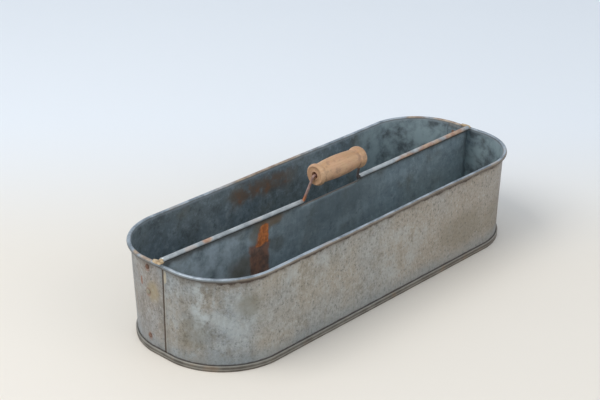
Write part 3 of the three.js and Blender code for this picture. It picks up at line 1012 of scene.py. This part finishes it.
def wall_inside():
    f = Finish("zinc_inside")
    x, y, z = (f.axis(i) for i in range(3))
    # Painted shade: the inside wall's greys are darker than the outside's, though it is the same sheet.
    colour, blotch, flake = inner_zinc(
        f, paint(109, 124, 132), paint(117, 128, 131), paint(150, 164, 171), paint(78, 86, 89)
    )
    far_end = f.mask(f.shaken(x, 14, 0.1), 0.1, 0.24)
    colour = f.tint(colour, f.both(far_end, f.mask(blotch, 0.36, 0.6)), 0.9, paint(158, 176, 180))
    back = f.mask(y, 0.08, 0.1)
    cloud_length = f.band(f.shaken(x, 30, 0.05), -0.078, 0.036, 0.022)
    cloud_height = f.band(f.shaken(z, 36, 0.026), 0.092, 0.119, 0.008)
    cloud = f.both(f.both(cloud_length, cloud_height), back)
    cloud = f.both(cloud, f.mask(f.noise(60, 5), 0.3, 0.56))
    colour = f.tint(colour, cloud, 0.8, paint(108, 86, 66))
    fresh = f.both(cloud, f.mask(f.noise(85, 4), 0.54, 0.66))
    colour = f.tint(colour, fresh, 0.5, paint(138, 94, 62))
    near_rim = f.mask(f.shaken(z, 60, 0.004), rim_axis_z - 4 * MM, rim_axis_z)
    colour = f.tint(colour, near_rim, 0.6, paint(160, 170, 176))
    roughness = f.calc("ADD", f.calc("MULTIPLY", blotch, 0.15), 0.55)
    metal = f.calc("SUBTRACT", 0.25, f.calc("MULTIPLY", cloud, 0.2))
    return f.finish(colour, roughness, metal, f.calc("ADD", blotch, f.calc("MULTIPLY", flake, 0.4)), 0.2)


# %% The divider
def divider_finish():
    f = Finish("zinc_divider")
    x, y, z = (f.axis(i) for i in range(3))
    colour, blotch, flake = inner_zinc(
        f, paint(138, 154, 162), paint(142, 154, 157), paint(172, 187, 194), paint(108, 118, 122)
    )
    near_half = f.mask(f.shaken(x, 14, 0.1), -0.08, -0.2)
    colour = f.tint(colour, f.both(near_half, f.mask(blotch, 0.38, 0.62)), 0.75, paint(190, 204, 212))
    darker = f.patch((0.01, 0, 0.105), (0.07, 0.02, 0.024), 0.8, 30, 0.9)
    colour = f.tint(colour, darker, 0.55, paint(98, 112, 118))

    leak_edge, leak_middle, leak_slope = -0.1152, 0.1065, 0.38
    rough_x, rough_z = f.shaken(x, 110, 0.012), f.shaken(z, 80, 0.012)
    right_of_leak = f.mask(f.shaken(x, 100, 0.006), leak_edge + 0.8 * MM, leak_edge - 0.8 * MM)
    climb = f.calc("SUBTRACT", rough_z, leak_middle)
    slanted = f.calc("SUBTRACT", rough_x, f.calc("MULTIPLY", climb, leak_slope))
    orange = f.both(f.mask(slanted, -0.1355, -0.131), right_of_leak)
    orange = f.both(orange, f.band(rough_z, 0.0925, 0.1195, 1.5 * MM))
    left_of_edge = f.mask(f.shaken(x, 60, 0.014), leak_edge + 4 * MM, leak_edge - 2 * MM)
    brown = f.both(f.mask(rough_x, -0.152, -0.146), left_of_edge)
    brown = f.both(brown, f.mask(rough_z, 0.1, 0.092))
    spread = f.patch((-0.155, 0, 0.07), (0.034, 0.02, 0.018), 1.0, 45, 0.9)
    colour = f.tint(colour, spread, 0.7, paint(108, 94, 72))
    halo = f.patch((-0.132, 0, 0.11), (0.016, 0.02, 0.016), 1.0, 60, 0.8)
    colour = f.tint(colour, halo, 0.55, paint(118, 104, 78))
    smear = f.patch((-0.1, 0, 0.084), (0.014, 0.02, 0.011), 1.2, 60, 0.8)
    colour = f.tint(colour, smear, 0.45, paint(92, 88, 72))
    old_rust = f.mix(f.mask(f.noise(90, 5), 0.36, 0.64), paint(106, 80, 66), paint(150, 106, 84))
    colour = f.tint(colour, brown, 0.9, old_rust)
    top_leak = f.patch((-0.112, 0, 0.12), (0.022, 0.02, 0.009), 1.0, 80, 0.8)
    colour = f.tint(colour, top_leak, 0.7, paint(134, 106, 72))
    fresh = f.mix(f.mask(f.noise(120, 5), 0.34, 0.66), paint(168, 98, 54), paint(222, 134, 74))
    colour = f.mix(orange, colour, fresh)

    # Painted shadow with grime: a darker brown band on the panel just under the hem, where the hem shades it.
    under_hem = f.mask(f.shaken(z, 60, 0.008), 0.1185, 0.1255)
    colour = f.tint(colour, under_hem, 0.6, paint(80, 68, 54))
    at_cut = f.both(f.band(x, -cut_half, cut_half, 2 * MM), f.mask(z, cut_z - 2 * MM, cut_z - 0.6 * MM))
    colour = f.tint(colour, at_cut, 0.7, paint(104, 86, 72))
    rust = f.either(brown, orange)
    roughness = f.calc("ADD", f.calc("MULTIPLY", rust, 0.25), 0.55)
    metal = f.calc("SUBTRACT", 0.25, f.calc("MULTIPLY", rust, 0.25))
    return f.finish(colour, roughness, metal, f.calc("ADD", blotch, f.calc("MULTIPLY", flake, 0.4)), 0.2)


# %% [markdown]
# ## Rubbed edges
# Hands and shelves keep the top of the roll and of the hem bright. The side that looks at the floor is painted
# darker: partly grime, partly painted shade, and on the front of the roll also a painted brown reflection. So
# the colour follows which way the face looks, with a ragged line between the two. Tan shows where the zinc has
# worn through.


# %% The roll, the hem and the seam band
def rubbed_zinc(name, bright, dull, grime_and_shade, grime_and_shade_line, tan_patches, tans, tan_share):
    f = Finish(name)
    blotch = f.mask(f.noise(60, 5), 0.35, 0.65)
    flake = f.noise(420, 3)
    colour = f.mix(blotch, dull, bright)
    colour = f.tint(colour, f.mask(flake, 0.54, 0.7), 0.35, paint(206, 212, 216))
    worn = f.both(f.mask(f.noise(30, 5), 0.55, 0.66), tan_share)
    for centre, size in tan_patches:
        worn = f.either(worn, f.both(f.patch(centre, size, 1.2, 70, 0.8), 0.75))
    colour = f.mix(worn, colour, f.mix(f.mask(f.noise(120, 4), 0.35, 0.65), *tans))
    front = f.mask(f.shaken(f.axis(1), 20, 0.04), -0.085, -0.1)
    middle_on = f.both(front, f.mask(f.axis(0), -0.2, 0.02))
    # Faces that look at the floor are painted darker: grime and painted shade, with a painted brown reflection
    # on the front of the roll.
    facing = f.calc("SUBTRACT", f.shaken(f.facing_up(), 45, 0.5), f.calc("MULTIPLY", middle_on, 0.22))
    looks_down = f.mask(facing, grime_and_shade_line + 0.2, grime_and_shade_line - 0.1)
    colour = f.tint(colour, looks_down, 0.8, f.mix(front, paint(104, 108, 108), grime_and_shade))
    # Painted shade with grime on the faces that look most steeply down.
    colour = f.tint(colour, f.mask(facing, 0.1, -0.3), 0.75, paint(62, 50, 40))
    roughness = f.calc("ADD", f.calc("MULTIPLY", flake, 0.2), 0.38)
    metal = f.calc("SUBTRACT", 0.5, f.calc("MULTIPLY", f.either(worn, looks_down), 0.42))
    return f.finish(colour, roughness, metal, f.calc("ADD", blotch, flake), 0.2)


rim_wear = [
    ((-0.3, 22 * MM, rim_axis_z), (0.01, 0.01, 0.02)),
    ((-0.296, 42 * MM, rim_axis_z), (0.008, 0.006, 0.02)),
    ((-0.01, half_width + 3 * MM, rim_axis_z), (0.08, 0.012, 0.012)),
    ((0.3, 34 * MM, rim_axis_z), (0.012, 0.026, 0.02)),
    ((0.27, 76 * MM, rim_axis_z), (0.016, 0.014, 0.02)),
]
hem_wear = [
    ((0.15, hem_axis.y, hem_axis.z - 1 * MM), (0.03, 0.01, 0.004)),
    ((0.2, hem_axis.y, hem_axis.z), (0.03, 0.01, 0.005)),
    ((0.26, hem_axis.y, hem_axis.z), (0.026, 0.01, 0.006)),
    ((-0.225, hem_axis.y, hem_axis.z + 6.4 * MM), (0.007, 0.01, 0.003)),
]
faded_tan = (paint(146, 116, 88), paint(180, 154, 122))
orange_tan = (paint(168, 110, 70), paint(190, 150, 112))
rim_zinc, rim_grime_and_shade = (paint(174, 184, 192), paint(126, 136, 144)), paint(118, 100, 78)
hem_zinc, hem_grime_and_shade = (paint(192, 198, 199), paint(158, 164, 166)), paint(92, 82, 68)
rim_finish = rubbed_zinc("zinc_rim", *rim_zinc, rim_grime_and_shade, 0.5, rim_wear, faded_tan, 0.35)
hem_finish = rubbed_zinc("zinc_hem", *hem_zinc, hem_grime_and_shade, -0.25, hem_wear, orange_tan, 0.3)


def band_finish():
    """The folded seam: painted highlight on two ridges, painted shade in the crease, painted shadow and dirt
    at the foot.
    """
    f = Finish("zinc_band")
    z = f.axis(2)
    blotch = f.mask(f.noise(60, 5), 0.35, 0.65)
    flake = f.noise(420, 3)
    colour = f.mix(blotch, paint(94, 90, 83), paint(124, 120, 112))
    warm = f.mask(f.shaken(f.axis(0), 12, 0.15), -0.1, 0.25)
    colour = f.tint(colour, warm, 0.4, paint(112, 98, 86))
    # Painted highlight: light lines on the top of the fold and on the lower ridge.
    upper_ridge_highlight = f.mask(z, seam_top - 1.5 * MM, seam_top - 0.4 * MM)
    ridge_highlight = f.either(upper_ridge_highlight, f.band(z, 2.6 * MM, 3.6 * MM, 0.5 * MM))
    colour = f.tint(colour, ridge_highlight, 0.45, paint(170, 167, 158))
    # Painted shade: a dark line in the crease of the band.
    crease = f.band(z, 4.4 * MM, 5.4 * MM, 0.5 * MM)
    colour = f.tint(colour, crease, 0.65, paint(66, 58, 50))
    # Painted shadow with dirt: the foot of the band is darker next to the floor.
    foot_dirt_and_shade = f.mask(f.shaken(z, 90, 0.002), 2.2 * MM, 0.6 * MM)
    colour = f.tint(colour, foot_dirt_and_shade, 0.6, paint(84, 68, 54))
    tan = f.both(f.mask(f.noise(34, 5), 0.56, 0.68), 0.35)
    colour = f.mix(tan, colour, paint(140, 116, 90))
    roughness = f.calc("ADD", f.calc("MULTIPLY", flake, 0.2), 0.45)
    metal = f.calc("SUBTRACT", 0.35, f.calc("MULTIPLY", f.either(tan, crease), 0.3))
    return f.finish(colour, roughness, metal, f.calc("ADD", blotch, flake), 0.2)


print("rubbed finishes", rim_finish.name, hem_finish.name)

# %% [markdown]
# ## Rusty wire, rivets, solder and wood
# The handle wire was never galvanised: thin rust has turned it pinkish brown, orange at the left foot where
# water runs off it, and dark grey on the right leg. The lowest and highest rivets have rusted too, while the
# middle ones kept their zinc. The grip is bare hardwood, pale and dry on the crown, with painted shade in the
# grooves on their lower side, a little dirt in the grooves, and darker where dirt collects in the mouths. Its
# grain runs along the billet, so the noise is stretched along X.


# %% Wire, rivets and solder
def rusty_steel(name, share, base, worn, rust):
    """Steel under thin rust. Gives back the finish under way, its colour and its relief."""
    f = Finish(name)
    blotch = f.mask(f.noise(110, 4), 0.4, 0.62)
    grain = f.noise(700, 3)
    colour = f.mix(blotch, base, worn)
    colour = f.tint(colour, f.mask(grain, 0.45, 0.7), share, rust)
    return f, colour, f.calc("ADD", grain, blotch)


def wire_finish():
    browns = paint(150, 118, 108), paint(182, 152, 142), paint(130, 92, 76)
    f, colour, relief = rusty_steel("rusty_wire", 0.4, *browns)
    from_foot = f.vector("DISTANCE", f.place, tuple(hem_axis + Vector((-foot, 0, 0)))).outputs["Value"]
    fresh = f.mask(f.shaken(from_foot, 200, 0.004), 0.014, 0.005)
    colour = f.tint(colour, fresh, 0.85, paint(200, 126, 82))
    colour = f.tint(colour, f.mask(f.axis(0), 0.03, 0.045), 0.85, paint(98, 94, 92))
    return f.finish(colour, 0.62, 0.25, relief, 0.3)


def rivet_finish():
    browns = paint(104, 82, 68), paint(128, 106, 92), paint(120, 70, 48)
    f, colour, relief = rusty_steel("rivet_steel", 0.7, *browns)
    middle_row = f.band(f.axis(2), 0.05, 0.1, 1 * MM)
    colour = f.mix(middle_row, colour, f.mix(relief, paint(118, 116, 108), paint(144, 138, 122)))
    return f.finish(colour, 0.65, 0.2, relief, 0.35)


def solder_finish():
    tans = paint(168, 142, 108), paint(200, 180, 148), paint(142, 112, 80)
    f, colour, relief = rusty_steel("old_solder", 0.4, *tans)
    return f.finish(colour, 0.55, 0.2, relief, 0.25)


# %% The wood
def grip_finish():
    f = Finish("turned_hardwood")
    fibre = f.noise(1, 5, (22, 420, 420))
    figure = f.mask(f.noise(1, 4, (9, 90, 90)), 0.38, 0.64)
    pore = f.mask(f.noise(1, 2, (60, 1500, 1500)), 0.6, 0.7)
    cloud = f.mask(f.noise(60, 5), 0.42, 0.62)
    colour = f.mix(figure, paint(176, 140, 106), paint(202, 166, 131))
    colour = f.tint(colour, f.mask(fibre, 0.42, 0.62), 0.35, paint(184, 138, 96))
    colour = f.tint(colour, cloud, 0.35, paint(196, 150, 122))
    colour = f.tint(colour, f.mask(f.noise(95, 5), 0.54, 0.68), 0.5, paint(146, 118, 98))
    colour = f.tint(colour, f.mask(f.noise(210, 4), 0.56, 0.7), 0.35, paint(136, 108, 88))
    colour = f.tint(colour, pore, 0.35, paint(146, 106, 74))
    from_axis = f.vector("MULTIPLY", f.vector("SUBTRACT", f.place, tuple(grip_axis)).outputs[0], (0, 1, 1))
    radius = f.vector("LENGTH", from_axis.outputs[0]).outputs["Value"]
    from_middle = f.calc("SUBTRACT", f.axis(0), handle_middle)
    along = f.calc("ABSOLUTE", from_middle)
    grooves = (-grip_half + left_bead + groove_width / 2, grip_half - right_bead - groove_width / 2)
    reach = 0.8 * MM
    in_groove = f.either(*(f.band(from_middle, at - reach, at + reach, 0.6 * MM) for at in grooves))
    below = f.mask(f.shaken(f.axis(2), 70, 0.01), grip_axis.z + 2 * MM, grip_axis.z - 6 * MM)
    # Painted shade: the grooves are painted darker on their lower side, away from the light.
    colour = f.tint(colour, f.both(in_groove, below), 0.75, paint(96, 76, 64))
    colour = f.tint(colour, f.both(in_groove, f.mask(f.noise(70, 4), 0.45, 0.6)), 0.3, paint(130, 98, 76))
    on_face = f.mask(along, grip_half - 0.25 * MM, grip_half - 0.75 * MM)
    inside_dish = f.mask(radius, groove_radius, groove_radius - 1.5 * MM)
    past_bead = f.mask(along, grip_half - 3 * MM, grip_half - 1.5 * MM)
    colour = f.tint(colour, f.both(f.both(on_face, inside_dish), past_bead), 0.3, paint(168, 126, 90))
    mouth = f.mask(radius, bore_radius + mouth_flare - 0.3 * MM, bore_radius + 0.6 * MM)
    colour = f.tint(colour, mouth, 0.85, paint(126, 68, 50))
    relief = f.calc("ADD", fibre, f.calc("MULTIPLY", pore, -0.6))
    return f.finish(colour, 0.68, 0.0, relief, 0.25, 0.0004)


# %% Put the finishes on
def dress(piece, *finishes):
    for finish in finishes:
        piece.data.materials.append(finish)


outside, inside = wall_outside(), wall_inside()
dress(wall, outside, inside, rim_finish, rim_finish)
dress(lap, outside, inside)
dress(base, inside, band_finish())
dress(divider, divider_finish(), hem_finish)
dress(handle_wire, wire_finish())
dress(grip, grip_finish())
rivet_steel = rivet_finish()
for piece in (rim_wire, *rivets.values()):
    dress(piece, rivet_steel)
old_solder = solder_finish()
for lump in solder.values():
    dress(lump, old_solder)
print("finishes", len(bpy.data.materials))

# %% [markdown]
# ## Hang every piece on its body
# The pail's pieces stay still. The wire swings about the hem's axis, and the grip turns on the wire and goes
# with it. Each piece says which solid of the frame it stands for, and whose finish it takes.

# %% Bodies, replaced solids and slots
for piece, body, node, slot in (
    (wall, "pail", "wall", "galvanised_sheet"),
    (lap, "pail", "wall", "galvanised_sheet"),
    (base, "pail", "base", "galvanised_sheet"),
    (divider, "pail", "divider", "divider_sheet"),
    (rim_wire, "pail", "rim_wire", "steel_wire"),
    (handle_wire, "handle", "handle_wire", "steel_wire"),
    (grip, "grip", "handle_grip", "turned_wood"),
    *((piece, "pail", node, "rivet_steel") for node, piece in rivets.items()),
):
    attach(piece, body)
    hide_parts(node)
for lump in solder.values():
    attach(lump, "pail")
